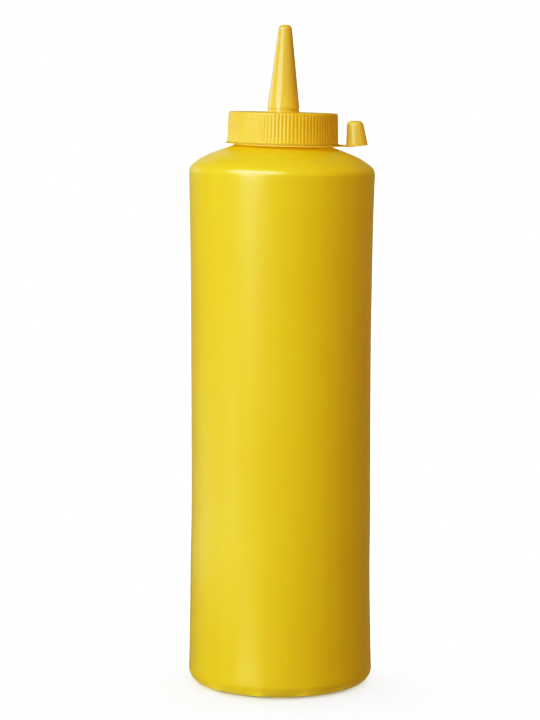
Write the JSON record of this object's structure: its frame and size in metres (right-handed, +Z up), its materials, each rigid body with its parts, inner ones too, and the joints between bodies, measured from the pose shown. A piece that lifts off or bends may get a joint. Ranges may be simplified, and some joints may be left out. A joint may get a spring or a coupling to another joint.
{
  "type": "condiment squeeze bottle",
  "caption": "Slim round squeeze bottle with a waisted wall, a ribbed screw cap with a cone nozzle, and a small tip cap held on a short strap by a collar under the cap.",
  "frame": {"origin": "on the floor, under the middle of the base", "axes": "+Z up the bottle towards the nozzle, +X towards the hanging tip cap"},
  "size_m": [0.0711, 0.0704, 0.2506],
  "materials": {
    "bottle_yellow": "satin blown polyethylene, opaque warm yellow",
    "cap_yellow": "satin moulded polyethylene, a little lighter and warmer than the bottle",
    "tip_yellow": "satin moulded polyethylene, thin walled"
  },
  "bodies": {
    "root": {"bottle": "bottle_yellow", "screw_cap": "cap_yellow", "tip_cap": "tip_yellow"}
  },
  "joints": []
}
